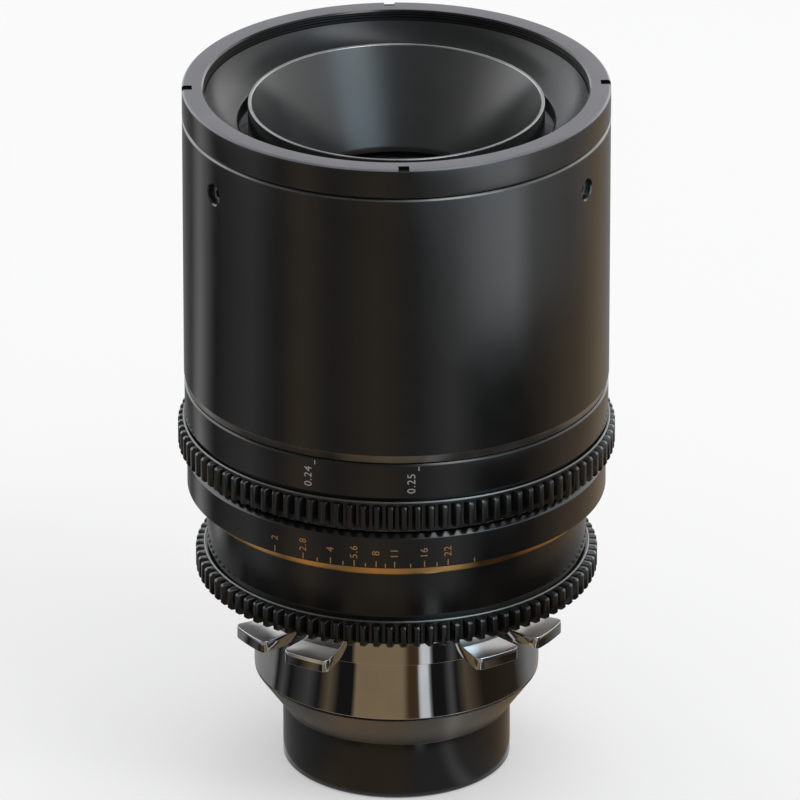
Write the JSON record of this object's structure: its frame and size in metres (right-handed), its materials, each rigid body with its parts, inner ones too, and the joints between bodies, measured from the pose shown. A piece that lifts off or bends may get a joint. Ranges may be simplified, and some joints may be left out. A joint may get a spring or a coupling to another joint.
{
  "type": "cinema prime lens",
  "caption": "Manual cinema prime lens with geared focus and iris rings, sliding front group, bladed iris and a lugged camera mount.",
  "frame": {"origin": "centre of the mount's flange seat, on the optical axis", "axes": "+Z along the optical axis towards the front, -Y towards the side with the scale index marks, +X to the right seen from that side"},
  "size_m": [0.0824, 0.0824, 0.1377],
  "materials": {
    "black_anodised": "satin black anodised",
    "front_ring_black": "satin black anodised, worn light on its front face",
    "inner_black": "fine matt black anodised",
    "gear_black": "satin black anodised",
    "gold_anodised": "satin gold anodised",
    "mount_chrome": "polished stainless steel",
    "cone_steel": "turned steel",
    "tail_black": "matt black anodised",
    "coated_glass": "polished, anti-reflection coated",
    "turned_aluminium": "turned, black-dyed where light passes",
    "spring_steel": "blackened spring steel",
    "turned_brass": "turned",
    "screw_steel": "black oxide",
    "glide_plastic": "plain"
  },
  "bodies": {
    "fixed_body": {"front_ring": "front_ring_black", "front_baffle": "inner_black", "front_barrel": "black_anodised", "front_grub_screws": "screw_steel", "guide_barrel": "turned_aluminium", "mid_collar": "black_anodised", "rear_housing": "turned_aluminium", "focus_stop_pin": "screw_steel", "focus_glide_rear": "glide_plastic", "focus_glide_front": "glide_plastic", "iris_glide_ring": "glide_plastic", "iris_pivot_plate": "turned_aluminium", "iris_retainer": "turned_aluminium", "mount_shim": "turned_brass", "pl_mount": "mount_chrome", "mount_screws": "screw_steel", "rear_cone": "cone_steel", "rear_tube": "tail_black", "rear_retaining_ring": "tail_black", "lens_element_5": "coated_glass", "lens_element_6": "coated_glass", "lens_element_7": "coated_glass", "lens_element_8": "coated_glass", "rear_spacer_1": "turned_aluminium", "rear_spacer_2": "turned_aluminium", "rear_spacer_3": "turned_aluminium"},
    "focus_body": {"focus_ring": "black_anodised", "focus_gear": "gear_black", "focus_drive_screws": "screw_steel", "cam_sleeve": "turned_aluminium"},
    "front_group": {"front_group_barrel": "turned_aluminium", "cam_followers": "turned_brass", "hood_cone": "inner_black", "front_retaining_ring": "tail_black", "lens_element_1": "coated_glass", "lens_element_2": "coated_glass", "lens_element_3": "coated_glass", "lens_element_4": "coated_glass", "front_spacer_1": "turned_aluminium", "front_spacer_2": "turned_aluminium", "front_spacer_3": "turned_aluminium"},
    "iris_body": {"iris_ring": "black_anodised", "iris_gear": "gear_black", "gold_ring": "gold_anodised", "iris_drive_pin": "screw_steel", "iris_rotor": "turned_aluminium"},
    "blade_1": {"iris_blade_1": "spring_steel"},
    "blade_2": {"iris_blade_2": "spring_steel"},
    "blade_3": {"iris_blade_3": "spring_steel"},
    "blade_4": {"iris_blade_4": "spring_steel"},
    "blade_5": {"iris_blade_5": "spring_steel"},
    "blade_6": {"iris_blade_6": "spring_steel"},
    "blade_7": {"iris_blade_7": "spring_steel"},
    "blade_8": {"iris_blade_8": "spring_steel"},
    "blade_9": {"iris_blade_9": "spring_steel"}
  },
  "joints": [
    {"name": "focus_turn", "type": "hinge", "parent": "fixed_body", "child": "focus_body", "pos_m": [0, 0, 0.043], "axis": [0, 0, 1], "range_deg": [-198, 24]},
    {"name": "focus_slide", "type": "slide", "parent": "fixed_body", "child": "front_group", "axis": [0, 0, 1], "range_m": [-0.01, 0.00125]},
    {"name": "iris_turn", "type": "hinge", "parent": "fixed_body", "child": "iris_body", "pos_m": [0, 0, 0.017], "axis": [0, 0, 1], "range_deg": [0, 49]},
    {"name": "blade_1_swing", "type": "hinge", "parent": "fixed_body", "child": "blade_1", "pos_m": [0.0229, 0, 0.016], "axis": [0, 0, 1], "range_deg": [-0.05, 33.05]},
    {"name": "blade_2_swing", "type": "hinge", "parent": "fixed_body", "child": "blade_2", "pos_m": [0.01754, 0.01472, 0.016], "axis": [0, 0, 1], "range_deg": [-0.05, 33.05]},
    {"name": "blade_3_swing", "type": "hinge", "parent": "fixed_body", "child": "blade_3", "pos_m": [0.00398, 0.02255, 0.016], "axis": [0, 0, 1], "range_deg": [-0.05, 33.05]},
    {"name": "blade_4_swing", "type": "hinge", "parent": "fixed_body", "child": "blade_4", "pos_m": [-0.01145, 0.01983, 0.016], "axis": [0, 0, 1], "range_deg": [-0.05, 33.05]},
    {"name": "blade_5_swing", "type": "hinge", "parent": "fixed_body", "child": "blade_5", "pos_m": [-0.02152, 0.00783, 0.016], "axis": [0, 0, 1], "range_deg": [-0.05, 33.05]},
    {"name": "blade_6_swing", "type": "hinge", "parent": "fixed_body", "child": "blade_6", "pos_m": [-0.02152, -0.00783, 0.016], "axis": [0, 0, 1], "range_deg": [-0.05, 33.05]},
    {"name": "blade_7_swing", "type": "hinge", "parent": "fixed_body", "child": "blade_7", "pos_m": [-0.01145, -0.01983, 0.016], "axis": [0, 0, 1], "range_deg": [-0.05, 33.05]},
    {"name": "blade_8_swing", "type": "hinge", "parent": "fixed_body", "child": "blade_8", "pos_m": [0.00398, -0.02255, 0.016], "axis": [0, 0, 1], "range_deg": [-0.05, 33.05]},
    {"name": "blade_9_swing", "type": "hinge", "parent": "fixed_body", "child": "blade_9", "pos_m": [0.01754, -0.01472, 0.016], "axis": [0, 0, 1], "range_deg": [-0.05, 33.05]}
  ],
  "couplings": [
    {"joint": "focus_slide", "follows": "focus_turn", "m_per_rad": 0.0028648},
    {"joint": "blade_1_swing", "follows": "iris_turn", "ratio": 0.67347},
    {"joint": "blade_2_swing", "follows": "iris_turn", "ratio": 0.67347},
    {"joint": "blade_3_swing", "follows": "iris_turn", "ratio": 0.67347},
    {"joint": "blade_4_swing", "follows": "iris_turn", "ratio": 0.67347},
    {"joint": "blade_5_swing", "follows": "iris_turn", "ratio": 0.67347},
    {"joint": "blade_6_swing", "follows": "iris_turn", "ratio": 0.67347},
    {"joint": "blade_7_swing", "follows": "iris_turn", "ratio": 0.67347},
    {"joint": "blade_8_swing", "follows": "iris_turn", "ratio": 0.67347},
    {"joint": "blade_9_swing", "follows": "iris_turn", "ratio": 0.67347}
  ]
}
